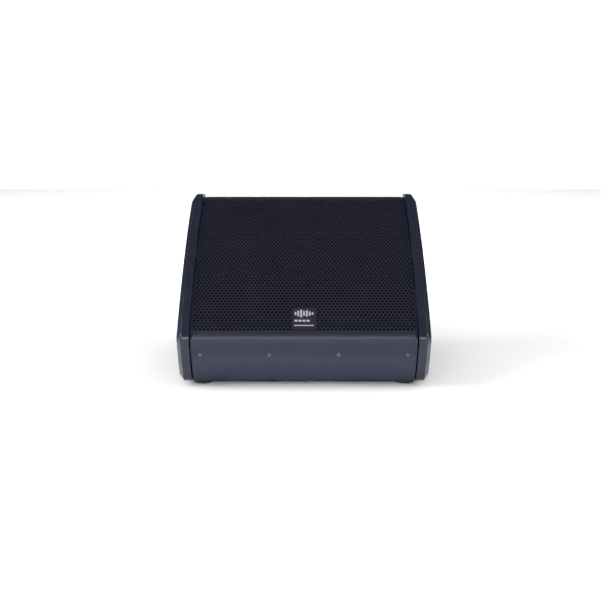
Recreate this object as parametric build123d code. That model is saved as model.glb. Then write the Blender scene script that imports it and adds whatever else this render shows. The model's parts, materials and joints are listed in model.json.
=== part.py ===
from build123d import *
import os
from math import atan2, cos, degrees, pi, radians, sin, sqrt, tan

# Floor wedge loudspeaker: a plywood box with a bowed steel grille, moulded side cheeks, a coaxial
# driver behind the grille and an amplifier module in the back.
#
# Row frame: +Z up, X across, the listener's side at -Y. While the pieces are drawn, Y is counted
# from near the front edge of the box, and everything is moved to the centre just before export.

# ---------------------------------------------------------------- driving dimensions (mm)
CHEEK_FACE_X = 200.0        # inner face of a side cheek
CHEEK_THICK = 22.5
BASE_Z = 8.0                # underside of the box, one foot height above the floor
PLY = 15.0

BOW_R = 1000.0              # radius of the bowed front edge of the plywood
BOW_Y, BOW_Z = 725.0, -599.0
TOP_LEAN = 24.85            # slope of the bow at its top end, in degrees
KICK_LEAN = 26.5            # how far the kick panel leans back below the front edge
KICK_BREAK_Y, KICK_BREAK_Z = 22.9, 39.5
FOOT_LEAN = 34.0            # slope of the kick panel's lower facet
REAR_TOP_Y, REAR_BASE_Y = 336.0, 404.0

FOAM_THICK = 5.0
SHEET = 1.5                 # grille steel
BEND_R = 20.0               # outside of the bend where the grille goes round the front edge
FLANGE_END_Z = 55.5
CHEEK_PROUD = 6.0           # cheek edge above the grille
REAR_PROUD = 21.0           # cheek edge behind the rear panel, which guards the knobs

GRILLE_HALF_X = 195.5
KICK_HALF_X = 198.5
SIDE_INNER_X = CHEEK_FACE_X - PLY

BAFFLE_SET = 10.0           # baffle face below the chord of the bow
DRIVER_R = 155.0
PORT_X, PORT_DOWN = 150.0, 140.0
PORT_BORE_R, PORT_WALL = 24.0, 3.0

PLATE_W, PLATE_H, PLATE_T = 290.0, 184.0, 3.0
POLE_R, POLE_DEEP = 18.1, 76.0
POLE_Y, POLE_Z = 215.0, 100.0
HANDLE_Y, HANDLE_Z = 262.0, 170.0
HANDLE_L, HANDLE_W, HANDLE_DEEP = 116.0, 42.0, 54.0

GRILLE_INNER_R = BOW_R + FOAM_THICK
GRILLE_OUTER_R = GRILLE_INNER_R + SHEET
CREST_R = GRILLE_OUTER_R + CHEEK_PROUD
LEAD_R = 2.5


# ---------------------------------------------------------------- side profile
def bow_point(radius, lean):
    """Point of the bowed front where its slope is lean degrees, as (Y, Z)."""
    a = radians(lean)
    return (BOW_Y - radius * sin(a), BOW_Z + radius * cos(a))


def kick_y(z, proud=0.0):
    """Y of the kick panel's upper face at height z, moved out by proud."""
    return KICK_BREAK_Y - tan(radians(KICK_LEAN)) * (z - KICK_BREAK_Z) - proud / cos(radians(KICK_LEAN))


def knuckle(radius, proud):
    """Where the bow of that radius meets the kick line, as (Y, Z)."""
    slope = -tan(radians(KICK_LEAN))
    start = kick_y(0.0, proud) - BOW_Y
    a = slope * slope + 1
    b = slope * start - BOW_Z
    c = start * start + BOW_Z * BOW_Z - radius * radius
    z = (-b + sqrt(b * b - a * c)) / a
    return (kick_y(z, proud), z)


def rear_y(z, proud=0.0):
    """Y of the rear panel's outer face at height z, moved out by proud."""
    return REAR_TOP_Y + REAR_TILT * (TOP_Z - z) + proud * sqrt(1 + REAR_TILT ** 2)


def arc_between(start, radius, end):
    """The part of the bow from start to end."""
    lean = [degrees(atan2(BOW_Y - p[0], p[1] - BOW_Z)) for p in (start, end)]
    return ThreePointArc(start, bow_point(radius, sum(lean) / 2), end)


TOP_Z = bow_point(GRILLE_INNER_R, TOP_LEAN)[1]
REAR_TILT = (REAR_BASE_Y - REAR_TOP_Y) / (TOP_Z - BASE_Z)
FOOT_EDGE_Y = KICK_BREAK_Y + tan(radians(FOOT_LEAN)) * (KICK_BREAK_Z - BASE_Z)


def near(shape, point):
    """The vertex of a sketch that is nearest to a point."""
    return shape.vertices().sort_by_distance((point[0], point[1], 0))[0]


def slab(face, x_low, x_high):
    """A side-profile face, made into a solid from x_low to x_high."""
    return extrude(Plane.YZ.offset(x_low) * face, amount=x_high - x_low)


def polygon(*points):
    return make_face(Polyline(*points, close=True))


def box_outline():
    """Outer profile of the plywood box, with the step that the foam ends against."""
    low = knuckle(BOW_R, 0)
    high = bow_point(BOW_R, TOP_LEAN + 0.4)
    step = bow_point(GRILLE_INNER_R, TOP_LEAN + 0.4)
    crown = bow_point(GRILLE_INNER_R, TOP_LEAN)
    rest = Polyline(
        high, step, crown, (REAR_TOP_Y, TOP_Z), (REAR_BASE_Y, BASE_Z),
        (FOOT_EDGE_Y, BASE_Z), (KICK_BREAK_Y, KICK_BREAK_Z), low,
    )
    face = make_face([arc_between(low, BOW_R, high), rest])
    return fillet(near(face, low), BEND_R - SHEET)


def cheek_outline(inset=0.0):
    """Outer profile of a side cheek, or the profile inset from it."""
    radius, proud = CREST_R - inset, SHEET + CHEEK_PROUD - inset
    low = knuckle(radius, proud)
    crown = bow_point(radius, TOP_LEAN)
    base = BASE_Z + inset
    tuck = (KICK_BREAK_Y - proud / cos(radians(KICK_LEAN)), KICK_BREAK_Z)
    foot = (FOOT_EDGE_Y - proud / cos(radians(FOOT_LEAN)) - tan(radians(FOOT_LEAN)) * inset, base)
    back = REAR_PROUD - inset
    rest = Polyline(
        crown, (rear_y(crown[1], back), crown[1]), (rear_y(base, back), base), foot, tuck, low,
    )
    face = make_face([arc_between(low, radius, crown), rest])
    corners = [(low, 20), (crown, 60), ((rear_y(crown[1], back), crown[1]), 24)]
    corners += [((rear_y(base, back), base), 22), (foot, 16), (tuck, 60)]
    for corner, round_r in corners:
        face = fillet(near(face, corner), max(round_r - inset, 4))
    return face


# ---------------------------------------------------------------- frames of the slanted parts
CHORD_LOW = knuckle(BOW_R, 0)
CHORD_HIGH = bow_point(BOW_R, TOP_LEAN)
CHORD_SPAN = sqrt((CHORD_HIGH[0] - CHORD_LOW[0]) ** 2 + (CHORD_HIGH[1] - CHORD_LOW[1]) ** 2)
UP_SLOPE = ((CHORD_HIGH[0] - CHORD_LOW[0]) / CHORD_SPAN, (CHORD_HIGH[1] - CHORD_LOW[1]) / CHORD_SPAN)
OUT_SLOPE = (-UP_SLOPE[1], UP_SLOPE[0])


def slope_point(along, out):
    """Point (Y, Z) a distance up the front slope from the knuckle, and out from the chord."""
    return (
        CHORD_LOW[0] + along * UP_SLOPE[0] + out * OUT_SLOPE[0],
        CHORD_LOW[1] + along * UP_SLOPE[1] + out * OUT_SLOPE[1],
    )


BAFFLE_MID = slope_point(CHORD_SPAN / 2, -BAFFLE_SET)
# Local frame of the driver: x across, y up the slope, z out of the baffle's face.
BAFFLE_PLANE = Plane((0, *BAFFLE_MID), x_dir=(1, 0, 0), z_dir=(0, *OUT_SLOPE))

REAR_OUT = (1 / sqrt(1 + REAR_TILT ** 2), REAR_TILT / sqrt(1 + REAR_TILT ** 2))
PLATE_Z = 168.0
# Local frame of the amplifier: x to the right as seen from behind, y up, z out of the rear panel.
REAR_PLANE = Plane((0, rear_y(PLATE_Z), PLATE_Z), x_dir=(-1, 0, 0), z_dir=(0, *REAR_OUT))
GASKET = 1.5
DRIVER_PLANE = BAFFLE_PLANE.offset(GASKET)


# ---------------------------------------------------------------- small shapes used in many places
def tube(outer_r, inner_r, z_low, z_high):
    """A round tube on the local z axis."""
    height = z_high - z_low
    ring = Cylinder(outer_r, height) - Cylinder(inner_r, height)
    return Pos(0, 0, (z_low + z_high) / 2) * ring


def rod(radius, z_low, z_high):
    return Pos(0, 0, (z_low + z_high) / 2) * Cylinder(radius, z_high - z_low)


def block(width, height, z_low, z_high, corner=0.0):
    """A block on the local z axis, with rounded upright corners if corner is given."""
    plan = RectangleRounded(width, height, corner) if corner else Rectangle(width, height)
    return extrude(Pos(0, 0, z_low) * plan, amount=z_high - z_low)


def spun(*points):
    """A body of revolution about the local z axis, from (radius, z) corners."""
    profile = Plane.XZ * make_face(Polyline(*points, close=True))
    return revolve(profile, Axis.Z, 360)


SCREW_FIT = 0.05            # radial clearance of a screw in its hole


def screw(head_r, head_h, shank_r, length):
    """A pan-head screw with a hexagon socket: its head sits on local z = 0 and points to +z."""
    head = rod(head_r, 0, head_h)
    head = chamfer(head.edges().group_by(Axis.Z)[-1], head_h * 0.3)
    socket = extrude(Pos(0, 0, head_h * 0.4) * RegularPolygon(head_r * 0.5, 6), amount=head_h)
    return head - socket + rod(shank_r, -length, 0)


def screw_hole(_head_r, _head_h, shank_r, length):
    """The hole that the same screw goes into, a little deeper than the screw."""
    return rod(shank_r + SCREW_FIT, -length - 0.5, 1)


def put(places, make, size):
    """One screw, or one hole, of that size at each place."""
    return [place * make(*size) for place in places]


def together(pieces):
    """Several separate solids as one shape."""
    return Compound(children=[piece for one in pieces for piece in one.solids()])


def cut_by(body, *tools):
    for tool in tools:
        body = body - tool
    return body


# ---------------------------------------------------------------- fasteners
# Head radius, head height, shank radius and length of each kind.
SHEET_SCREW = (3.6, 1.6, 1.7, 12)
CROWN_SCREW = (4, 0.7, 1.7, 12)
DRIVER_BOLT = (4.6, 3.2, 2.4, 20)
PLATE_SCREW = (3.8, 2.2, 1.8, 14)
SOLE_SCREW = (5, 2.4, 2, 14)
CHEEK_SCREW = (4.4, 2.6, 2.1, 26)

FLANGE_SCREW_Z = 62.5
FLANGE_SCREW_X = (-182.5, -60.8, 60.8, 182.5)
CROWN_SCREW_X = (-150, 0, 150)
CROWN_SCREW_Y = 313.5
DRIVER_BOLT_R = 148.0
FOOT_SPOTS = [(x, y) for y in (FOOT_EDGE_Y + 21, REAR_BASE_Y - 30) for x in (-182.5, 182.5)]
FOOT_SEAT = 4.0
CHEEK_SPOTS = [(60, 62), (118, 50), (332, 50), (374, 62), (330, 262), (150, 172)]
CHEEK_SEAT_X = CHEEK_FACE_X + CHEEK_THICK - 9


def flange_places():
    """On the grille's lower flange, which lies on the kick panel."""
    lean = radians(KICK_LEAN)
    seat_y = kick_y(FLANGE_SCREW_Z, SHEET)
    out = (0, -cos(lean), -sin(lean))
    return [Plane((x, seat_y, FLANGE_SCREW_Z), x_dir=(1, 0, 0), z_dir=out).location for x in FLANGE_SCREW_X]


def crown_places():
    """On the grille's top return, which lies on the top rail."""
    return [Pos(x, CROWN_SCREW_Y, TOP_Z + SHEET) for x in CROWN_SCREW_X]


def driver_places():
    """Round the driver's flange, in the driver's frame."""
    return [Pos(0, 0, 5) * place for place in PolarLocations(DRIVER_BOLT_R, 8, start_angle=22.5)]


def plate_places():
    """Round the edge of the amplifier plate, in the amplifier's frame."""
    edge_x, edge_y = PLATE_W / 2 - 7, PLATE_H / 2 - 7
    spots = [(x, y) for x in (-edge_x, -edge_x / 3, edge_x / 3, edge_x) for y in (-edge_y, edge_y)]
    spots += [(-edge_x, 0), (edge_x, 0)]
    return [Pos(x, y, PLATE_T) for x, y in spots]


def sole_places():
    """In the middle of each rubber foot."""
    return [Pos(x, y, BASE_Z - FOOT_SEAT) * Rot(180, 0, 0) for x, y in FOOT_SPOTS]


def cheek_places(side):
    """Sunk in the outer face of a cheek."""
    return [Pos(side * CHEEK_SEAT_X, y, z) * Rot(0, side * 90, 0) for y, z in CHEEK_SPOTS]


# ---------------------------------------------------------------- plywood box
def handle_plane(x_out):
    """Frame of a handle recess: x towards the back, z out of the cheek on the +X side."""
    return Plane((x_out, HANDLE_Y, HANDLE_Z), x_dir=(0, 1, 0), z_dir=(1, 0, 0))


def to_side(shape, side):
    """The shape as drawn on the +X side, or its mirror image on the -X side."""
    return shape if side > 0 else mirror(shape, about=Plane.YZ)


HANDLE_HOLE_L, HANDLE_HOLE_W = HANDLE_L + 8, HANDLE_W + 8


def side_panel(side):
    """A plywood side, cut away for the kick panel, the handle and, on -X, the pole cup."""
    board = slab(box_outline(), SIDE_INNER_X, CHEEK_FACE_X)
    board -= slab(kick_profile(), SIDE_INNER_X - 1, CHEEK_FACE_X + 1)
    hole = block(HANDLE_HOLE_L, HANDLE_HOLE_W, -PLY - 1, 1, 16)
    board -= handle_plane(CHEEK_FACE_X).location * hole
    board = to_side(board, side)
    if side < 0:
        board -= Pos(-CHEEK_FACE_X + PLY / 2, POLE_Y, POLE_Z) * (Rot(0, 90, 0) * Cylinder(POLE_R + 4, PLY + 2))
    return board


def kick_profile():
    """The kick panel: a board behind the kick face, its nose rounded at the knuckle."""
    inner = PLY
    top = 120.0
    band = polygon(
        (kick_y(top), top), (kick_y(top, -inner), top), (kick_y(KICK_BREAK_Z, -inner), KICK_BREAK_Z),
        (FOOT_EDGE_Y + inner / cos(radians(FOOT_LEAN)), BASE_Z), (FOOT_EDGE_Y, BASE_Z),
        (KICK_BREAK_Y, KICK_BREAK_Z),
    )
    return box_outline() & band


def inside_profile():
    """Everything inside the rear and kick boards, down to the bottom panel."""
    return polygon(
        (kick_y(150, -PLY), 150), (kick_y(KICK_BREAK_Z, -PLY), KICK_BREAK_Z),
        (FOOT_EDGE_Y + PLY / cos(radians(FOOT_LEAN)), BASE_Z),
        (rear_y(BASE_Z, -PLY), BASE_Z), (rear_y(400, -PLY), 400), (0, 400),
    )


def bottom_panel():
    plan = polygon((0, BASE_Z), (500, BASE_Z), (500, BASE_Z + PLY), (0, BASE_Z + PLY))
    return slab(plan & inside_profile(), -SIDE_INNER_X, SIDE_INNER_X)


def rear_profile():
    inner_base, inner_top = rear_y(BASE_Z, -PLY), rear_y(TOP_Z, -PLY)
    return polygon((REAR_TOP_Y, TOP_Z), (REAR_BASE_Y, BASE_Z), (inner_base, BASE_Z), (inner_top, TOP_Z))


HOUSING_W, HOUSING_H, HOUSING_DEEP = 262.0, 156.0, 56.0


def rear_panel():
    """The back board, with the cut-out that the amplifier's housing goes through."""
    board = slab(rear_profile(), -SIDE_INNER_X, SIDE_INNER_X)
    return board - REAR_PLANE.location * block(HOUSING_W, HOUSING_H, -40, 10, 6)


BAFFLE_LOW, BAFFLE_HIGH = -30.0, CHORD_SPAN - 14.0


def baffle_profile():
    front, back = -BAFFLE_SET, -BAFFLE_SET - PLY
    band = polygon(
        slope_point(BAFFLE_LOW, front), slope_point(BAFFLE_HIGH, front),
        slope_point(BAFFLE_HIGH, back), slope_point(BAFFLE_LOW, back),
    )
    return band & inside_profile()


def baffle():
    """The flat board that carries the driver and the two bass ports."""
    board = slab(baffle_profile(), -SIDE_INNER_X, SIDE_INNER_X)
    holes = [BAFFLE_PLANE.location * rod(DRIVER_R - 13, -PLY - 10, 10)]
    for x in (-PORT_X, PORT_X):
        spot = Pos(x, -PORT_DOWN, 0)
        holes.append(BAFFLE_PLANE.location * (spot * rod(PORT_BORE_R + PORT_WALL, -PLY - 10, 10)))
        holes.append(BAFFLE_PLANE.location * (spot * rod(PORT_BORE_R + 2 * PORT_WALL, -PORT_WALL, 10)))
    return cut_by(board, *holes)


def top_rail():
    """The rail under the crown that the grille's top return is screwed to."""
    band = polygon(
        slope_point(BAFFLE_HIGH, 60), slope_point(BAFFLE_HIGH, -BAFFLE_SET - PLY),
        (rear_y(TOP_Z - 40, -PLY), slope_point(BAFFLE_HIGH, -BAFFLE_SET - PLY)[1]),
        (rear_y(TOP_Z, -PLY), TOP_Z + 20),
    )
    rear_side = polygon((200, 200), (200, 400), (rear_y(400, -PLY), 400), (rear_y(200, -PLY), 200))
    return slab(box_outline() & band & rear_side, -SIDE_INNER_X, SIDE_INNER_X)


# ---------------------------------------------------------------- grille, foam and badge
FOAM_LOW_LEAN = 44.6


def grille():
    """Bent steel sheet: the bow, the bend round the knuckle, the lower flange, the top return."""
    outer_low = knuckle(GRILLE_OUTER_R, SHEET)
    outer_high = bow_point(GRILLE_OUTER_R, TOP_LEAN)
    flange_z, return_y = FLANGE_END_Z, REAR_TOP_Y - 3
    outer = make_face([
        arc_between(outer_low, GRILLE_OUTER_R, outer_high),
        Polyline(
            outer_high, (outer_high[0], TOP_Z + SHEET), (return_y, TOP_Z + SHEET), (return_y, TOP_Z - 30),
            (200, 100), (kick_y(flange_z, SHEET), flange_z), outer_low,
        ),
    ])
    outer = fillet(near(outer, outer_low), BEND_R)
    inner_low = knuckle(GRILLE_INNER_R, 0)
    inner_high = bow_point(GRILLE_INNER_R, TOP_LEAN)
    inner = make_face([
        arc_between(inner_low, GRILLE_INNER_R, inner_high),
        Polyline(
            inner_high, (return_y + 1, TOP_Z), (return_y + 1, TOP_Z - 40), (230, 60),
            (kick_y(flange_z - 30), flange_z - 30), inner_low,
        ),
    ])
    inner = fillet(near(inner, inner_low), BEND_R - SHEET)
    return slab(outer - inner, -GRILLE_HALF_X, GRILLE_HALF_X)


def grille_foam():
    """Thin foam sheet behind the perforated part of the grille."""
    low_out, low_in = bow_point(GRILLE_INNER_R, FOAM_LOW_LEAN), bow_point(BOW_R, FOAM_LOW_LEAN)
    high_out, high_in = bow_point(GRILLE_INNER_R, TOP_LEAN + 0.4), bow_point(BOW_R, TOP_LEAN + 0.4)
    sheet = make_face([
        arc_between(low_out, GRILLE_INNER_R, high_out), Line(high_out, high_in),
        arc_between(high_in, BOW_R, low_in), Line(low_in, low_out),
    ])
    return slab(sheet, -GRILLE_HALF_X + 1, GRILLE_HALF_X - 1)


BADGE_LEAN, BADGE_SIZE, BADGE_THICK = 44.1, (44.0, 47.0), 1.6


def badge_plane(above=0.0):
    """Frame of the badge: tangent to the grille, z out."""
    a = radians(BADGE_LEAN)
    seat = bow_point(GRILLE_OUTER_R + above, BADGE_LEAN)
    return Plane((0, *seat), x_dir=(1, 0, 0), z_dir=(0, -sin(a), cos(a)))


def badge_plate():
    """A plain rounded plate, its back curved to lie on the grille."""
    plate = badge_plane().location * block(*BADGE_SIZE, -1, BADGE_THICK, 3)
    skin = Pos(0, BOW_Y, BOW_Z) * (Rot(0, 90, 0) * Cylinder(GRILLE_OUTER_R, 2 * CHEEK_FACE_X))
    return plate - skin


def badge_emblem():
    """A generic level-meter mark: upright bars over a row of short dashes and a thin rule."""
    rise, bar_w, pitch = 0.6, 3.2, 5.0
    heights = (7, 12, 16, 10, 14, 9, 5)
    placed = [Pos((n - 3) * pitch, 10, 0) * block(bar_w, h, 0, rise, 0.8) for n, h in enumerate(heights)]
    placed += [Pos(-14 + 7 * n, -5.5, 0) * block(5.4, 4, 0, rise, 0.8) for n in range(4)]
    placed.append(Pos(0, -15.5, 0) * block(35, 1.8, 0, rise, 0.5))
    face = badge_plane(BADGE_THICK).location
    return together([face * piece for piece in placed])


# ---------------------------------------------------------------- side cheeks, handles, pole cup
BEVEL_ACROSS, BEVEL_IN = 8.0, 12.0
CHEEK_WALL = 3.5
BEVEL_SOFT = 2.0            # radius on both edges of the bevel


def edge_is_flat(edge):
    """True if the edge lies in one plane across X."""
    return edge.bounding_box().size.X < 0.01


def cheek(side):
    """Moulded side cover: bevelled rim, hollow behind, with a handle slot and screw bosses."""
    straight = CHEEK_THICK - BEVEL_ACROSS
    body = slab(cheek_outline(), CHEEK_FACE_X, CHEEK_FACE_X + CHEEK_THICK)
    rim = body.faces().sort_by(Axis.X)[-1]
    body = chamfer(rim.edges(), length=BEVEL_IN, length2=BEVEL_ACROSS, reference=rim)
    body = fillet(body.faces().sort_by(Axis.X)[-1].edges(), BEVEL_SOFT)
    shoulder = [e for e in body.edges() if abs(e.center().X - (CHEEK_FACE_X + straight)) < 0.01 and edge_is_flat(e)]
    body = fillet(shoulder, BEVEL_SOFT)
    pocket = slab(cheek_outline(CHEEK_WALL + 1.5), CHEEK_FACE_X - 1, CHEEK_FACE_X + straight - CHEEK_WALL)
    pocket += slab(cheek_outline(BEVEL_IN + CHEEK_WALL), CHEEK_FACE_X, CHEEK_FACE_X + CHEEK_THICK - CHEEK_WALL)
    face_x = CHEEK_FACE_X + CHEEK_THICK
    for y, z in CHEEK_SPOTS:
        pocket -= Pos(CHEEK_FACE_X + 10, y, z) * (Rot(0, 90, 0) * Cylinder(9, 40))
    collar = block(HANDLE_L + 8, HANDLE_W + 8, -CHEEK_THICK + 3, 5, 16)
    pocket -= handle_plane(face_x).location * collar
    if side < 0:
        pocket -= Pos(CHEEK_FACE_X + 10, POLE_Y, POLE_Z) * (Rot(0, 90, 0) * Cylinder(POLE_R + 17, 40))
    body -= pocket
    for y, z in CHEEK_SPOTS:
        body -= Pos(CHEEK_SEAT_X, y, z) * (Rot(0, 90, 0) * rod(5.2, 0, CHEEK_THICK))
    slot = handle_plane(face_x).location * block(HANDLE_L, HANDLE_W, -40, 5, 14)
    body -= slot
    lip = handle_plane(face_x).location * block(HANDLE_L + 14, HANDLE_W + 14, -2.0, 5, 20)
    body -= lip
    # room for the flange of the handle cup, and on -X for that of the pole cup
    body -= handle_plane(CHEEK_FACE_X).location * block(HANDLE_L + 20, HANDLE_W + 20, -1, 3, 20)
    if side < 0:
        turn = Rot(0, 90, 0)
        body -= Pos(face_x - 10, POLE_Y, POLE_Z) * (turn * Cylinder(POLE_R + 3, 60))
        body -= Pos(face_x - 1, POLE_Y, POLE_Z) * (turn * Cylinder(POLE_R + 12, 6))
    return to_side(body, side)


def handle_cup(side):
    """Moulded bucket behind the handle slot, flanged onto the plywood."""
    flange = block(HANDLE_L + 19, HANDLE_W + 19, 0, 2.9, 19)
    bucket = block(HANDLE_HOLE_L - 1, HANDLE_HOLE_W - 1, -HANDLE_DEEP + CHEEK_THICK, 0.5, 15)
    hollow = block(HANDLE_L + 1, HANDLE_W + 1, -HANDLE_DEEP + CHEEK_THICK + 3, 5, 14)
    cup = handle_plane(CHEEK_FACE_X).location * (flange + bucket - hollow)
    return to_side(cup, side)


def pole_cup():
    """Metal socket for a loudspeaker pole, let into the cheek on the -X side."""
    outer, face = POLE_R + 2.9, CHEEK_THICK
    profile = spun(
        (POLE_R, face), (POLE_R + 11.5, face), (POLE_R + 11.5, face - 4), (outer, face - 4),
        (outer, face - POLE_DEEP - 3), (0, face - POLE_DEEP - 3), (0, face - POLE_DEEP), (POLE_R, face - POLE_DEEP),
    )
    mouth = Plane((-CHEEK_FACE_X, POLE_Y, POLE_Z), x_dir=(0, 1, 0), z_dir=(-1, 0, 0))
    return mouth.location * profile


def foot():
    """Round rubber foot with a sunk screw seat, its top on local z = 0."""
    body = spun((0, 0), (18, 0), (18, -3), (16, -BASE_Z + 1), (15, -BASE_Z), (0, -BASE_Z))
    return body - rod(5.5, -BASE_Z - 1, -FOOT_SEAT) - rod(SOLE_SCREW[2] + SCREW_FIT, -BASE_Z, 1)


# ---------------------------------------------------------------- coaxial driver (driver frame)
TERMINAL_AT = (-90.0, -22.0)
TERMINAL_Z = -62.0


def driver_frame():
    """Cast frame: bolt flange, six windows in a conical wall, and the ring on the top plate."""
    wall = spun(
        (140, 0), (DRIVER_R, 0), (DRIVER_R, 5), (138, 5), (138, -1), (84, -50), (84, -53), (76, -53),
        (76, -56), (82, -56), (82, -64), (60, -64), (60, -67), (86, -67), (86, -53), (141, -3),
    )
    window = Pos(112, 0, -28) * Box(70, 66, 34)
    for turn in PolarLocations(0, 6):
        wall -= turn * window
    terminal = block(16, 12, TERMINAL_Z, TERMINAL_Z + 12, 1)
    wall += Pos(*TERMINAL_AT, 0) * terminal - rod(84, -80, 0)
    return cut_by(wall, *put(driver_places(), screw_hole, DRIVER_BOLT))


def driver_gasket():
    ring = tube(DRIVER_R, 142, -GASKET, 0)
    return cut_by(ring, *put(driver_places(), screw_hole, DRIVER_BOLT))


ROLL_R, ROLL_SKIN, ROLL_SEAT = 6.0, 0.8, 5.0


def woofer_surround():
    """Twin-roll edge between the cone's rim and the frame."""
    flats = [(113.0, 108.5), (126.0, 124.0), (142.0, 137.0)]
    body = together([tube(outer, inner, ROLL_SEAT, ROLL_SEAT + ROLL_SKIN) for outer, inner in flats])
    for middle in (118.5, 131.5):
        half = Pos(middle, ROLL_SEAT) * (Circle(ROLL_R) - Circle(ROLL_R - ROLL_SKIN))
        half &= Pos(middle, ROLL_SEAT + 10) * Rectangle(40, 20)
        body += revolve(Plane.XZ * half, Axis.Z, 360)
    return body


def woofer_cone():
    """Paper cone: a flat rim, a flared wall and a neck ring that the coil former is glued in."""
    skin = 1.2
    outer = ThreePointArc((109, 3.8), (74, -25), (39.7, -44))
    inner = ThreePointArc((39.7, -44 + 1.8), (74.5, -25 + 1.6), (108.5, 5))
    rim = Polyline((108.5, 5), (112.5, 5), (112.5, 5 - skin), (109, 3.8))
    neck = Line((39.7, -44), (39.7, -44 + 1.8))
    cone = revolve(Plane.XZ * make_face([outer, neck, inner, rim]), Axis.Z, 360)
    return cone + tube(40.2, 38.6, -47, -42.2)


def voice_coil():
    """Coil former with its winding."""
    return tube(38.6, 38.0, -78, -42.2) + tube(39.5, 38.5, -78, -62)


def woofer_spider():
    """Corrugated cloth ring that centres the coil."""
    folds, pitch, rise = 5, 6.0, 1.6
    top = [(40.2, -48.2)]
    for n in range(folds + 1):
        top += [(44 + n * pitch, -48.2 + rise), (44 + (n + 0.5) * pitch, -48.2 - rise)]
    top = top[:-1] + [(78, -52.2), (81, -52.2)]
    under = [(r, z - ROLL_SKIN) for r, z in reversed(top)]
    cloth = spun(*top, *under)
    return cloth + tube(41, 38.6, -49.0, -47.4)


def magnet_parts():
    """Top plate, ferrite ring and vented yoke."""
    top_plate = tube(80, 40.5, -75, -67)
    ferrite = fillet(tube(78, 45, -97, -75).edges().filter_by(GeomType.CIRCLE).sort_by(SortBy.RADIUS)[-2:], 2)
    yoke = rod(80, -105, -97) + rod(37, -97, -66) - rod(19, -110, -60)
    return top_plate, ferrite, yoke


def hf_horn():
    """Conical horn that carries the high frequencies through the yoke and out of the cone."""
    return spun(
        (12.7, -105), (19, -105), (19, -64), (23, -50), (29, -30), (35.6, -10), (34, -8.5),
        (27.5, -28), (21.5, -48), (17, -64),
    )


def hf_parts():
    """Compression driver: body with its phase plug, rear cap and domed diaphragm."""
    body = rod(46, -140, -105) - rod(33, -141, -116) - rod(12.7, -120, -100)
    body += rod(30, -120.5, -116) - rod(12.7, -121, -100)
    body = fillet(body.edges().filter_by(GeomType.CIRCLE).sort_by(SortBy.RADIUS)[-1:], 2)
    cap = rod(44, -149, -140) + rod(32.5, -140, -128) - rod(29.5, -144, -127)
    diaphragm = spun(
        (0, -125.2), (12, -125.8), (20, -127.0), (26, -126.2), (28.5, -126.2), (28.5, -125.7),
        (26, -125.7), (20, -126.3), (12, -125.1), (0, -124.5),
    )
    return body, cap, Pos(0, 0, 2.5) * diaphragm


def port_tube():
    """Bass port: a flanged tube let into the baffle's face."""
    outer = PORT_BORE_R + PORT_WALL
    lip = PORT_BORE_R + 2 * PORT_WALL - 0.2
    return tube(outer, PORT_BORE_R, -62, 0) + tube(lip, PORT_BORE_R, -PORT_WALL, 0)


# ---------------------------------------------------------------- amplifier (rear frame)
XLR_IN, XLR_LINK = (28.0, 46.0), (70.0, 46.0)
MAINS_IN, MAINS_LINK = (28.0, -48.0), (70.0, -48.0)
LEVEL_AT, PRESET_AT = (28.0, 0.0), (70.0, 0.0)
LOW_CUT_AT, LIFT_AT = (108.0, 8.0), (108.0, -14.0)
SWITCH_AT = (112.0, -50.0)
LIGHTS_AT = [(102.0 + 8 * n, 42.0) for n in range(3)]
SOCKET_R = 12.0
SHAFT_R, BUTTON_R = 3.0, 4.0
SLIDE_FIT = 0.08            # radial clearance of shafts and buttons that move
LATCH_W, LATCH_H, LATCH_DOWN = 9.0, 3.6, 12.2
BOARD_Z, BOARD_T = -40.0, 1.6
CONTROL_Z = -16.0
LEAD_OUT_AT = (90.0, -40.0)
SINK_X, SINK_W, SINK_H = -67.0, 112.0, 146.0


def amp_plate():
    """Steel panel of the amplifier, pierced for every control and socket."""
    plate = block(PLATE_W, PLATE_H, 0, PLATE_T, 6)
    for x, y in (XLR_IN, XLR_LINK, MAINS_IN, MAINS_LINK):
        plate -= Pos(x, y, 0) * rod(SOCKET_R, -5, 10)
    for x, y in (LEVEL_AT, PRESET_AT):
        plate -= Pos(x, y, 0) * rod(SHAFT_R + SLIDE_FIT, -5, 10)
    for x, y in (LOW_CUT_AT, LIFT_AT):
        plate -= Pos(x, y, 0) * rod(BUTTON_R + SLIDE_FIT, -5, 10)
    for x, y in LIGHTS_AT:
        plate -= Pos(x, y, 0) * rod(1.5, -5, 10)
    plate -= Pos(*SWITCH_AT, 0) * block(20, 26, -5, 10)
    plate -= latch_slot(-5, 10)
    return cut_by(plate, *put(plate_places(), screw_hole, PLATE_SCREW))


def heatsink():
    """Black aluminium heatsink with upright fins, on the outside of the plate."""
    base_t, fin_h, fin_t, fins = 4.0, 11.0, 2.4, 13
    pitch = (SINK_W - fin_t) / (fins - 1)
    sink = block(SINK_W, SINK_H, PLATE_T, PLATE_T + base_t)
    for n in range(fins):
        x = -SINK_W / 2 + fin_t / 2 + n * pitch
        fin = block(fin_t, SINK_H, PLATE_T + base_t, PLATE_T + base_t + fin_h)
        sink += Pos(x, 0, 0) * chamfer(fin.edges().group_by(Axis.Z)[-1], 0.7)
    return Pos(SINK_X, 0, 0) * sink


def amp_housing():
    """Folded steel tub that seals the electronics from the air in the box, with the lead's grommet."""
    tub = block(HOUSING_W - 2, HOUSING_H - 2, -HOUSING_DEEP, 0, 5)
    tub -= block(HOUSING_W - 5, HOUSING_H - 5, -HOUSING_DEEP + 1.5, 1, 4)
    grommet = tube(LEAD_R + 3, LEAD_R + 0.3, -HOUSING_DEEP - 5, -HOUSING_DEEP)
    return tub + Pos(*LEAD_OUT_AT, 0) * grommet


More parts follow.
